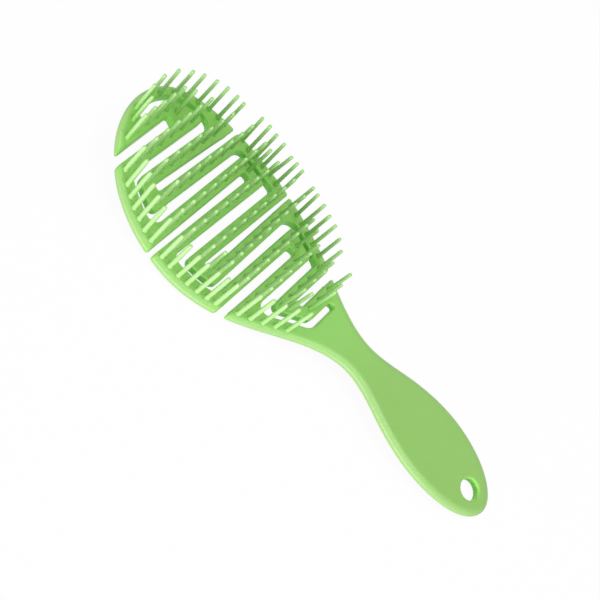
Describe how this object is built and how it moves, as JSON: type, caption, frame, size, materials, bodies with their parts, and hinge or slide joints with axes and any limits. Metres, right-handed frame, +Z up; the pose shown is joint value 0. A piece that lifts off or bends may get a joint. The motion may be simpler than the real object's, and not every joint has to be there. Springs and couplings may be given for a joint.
{
  "type": "vent hair brush",
  "caption": "One-piece moulded vent brush with a paddle handle, a round hanging hole and a flexible slotted oval head that carries tall tapered pins.",
  "frame": {"origin": "middle of the box that holds the brush, on the level surface that its back lies on", "axes": "+Y from the handle's end to the tip, +X to the brush's right as seen from above with the tip away, +Z up, the way the pins point"},
  "size_m": [0.081, 0.234, 0.0444],
  "materials": {
    "plastic": "satin"
  },
  "bodies": {
    "handle_body": {"handle": "plastic", "rib_10": "plastic", "rib_12": "plastic"},
    "left_flap_2": {"rib_09": "plastic", "edge_left_2": "plastic", "rib_06": "plastic"},
    "left_flap_1": {"rib_05": "plastic", "edge_left_1": "plastic", "rib_02": "plastic"},
    "tip": {"rib_01": "plastic", "tip_rim": "plastic", "rib_03": "plastic"},
    "right_flap_2": {"rib_11": "plastic", "edge_right_2": "plastic", "rib_08": "plastic"},
    "right_flap_1": {"rib_07": "plastic", "edge_right_1": "plastic", "rib_04": "plastic"}
  },
  "joints": [
    {"name": "head_flex", "type": "hinge", "parent": "handle_body", "child": "left_flap_2", "pos_m": [0, 0.02551, 0.00315], "axis": [1, 0, 0], "range_deg": [-4, 4], "stiffness_Nm_per_rad": 0.5},
    {"name": "fold_3", "type": "hinge", "parent": "left_flap_2", "child": "left_flap_1", "pos_m": [0, 0.06411, 0.00459], "axis": [1, 0, 0], "range_deg": [-4, 4], "stiffness_Nm_per_rad": 0.5},
    {"name": "fold_1", "type": "hinge", "parent": "left_flap_1", "child": "tip", "pos_m": [0, 0.10194, 0.01574], "axis": [1, 0, 0], "range_deg": [-2, 2], "stiffness_Nm_per_rad": 0.5},
    {"name": "fold_6", "type": "hinge", "parent": "handle_body", "child": "right_flap_2", "pos_m": [0, 0.00592, 0.00595], "axis": [1, 0, 0], "range_deg": [-2, 2], "stiffness_Nm_per_rad": 0.5},
    {"name": "fold_4", "type": "hinge", "parent": "right_flap_2", "child": "right_flap_1", "pos_m": [0, 0.04492, 0.00255], "axis": [1, 0, 0], "range_deg": [-3, 3], "stiffness_Nm_per_rad": 0.5}
  ],
  "couplings": [
    {"joint": "fold_3", "follows": "head_flex", "ratio": 1},
    {"joint": "fold_1", "follows": "head_flex", "ratio": 0.5},
    {"joint": "fold_6", "follows": "head_flex", "ratio": 0.5},
    {"joint": "fold_4", "follows": "head_flex", "ratio": 0.75}
  ]
}
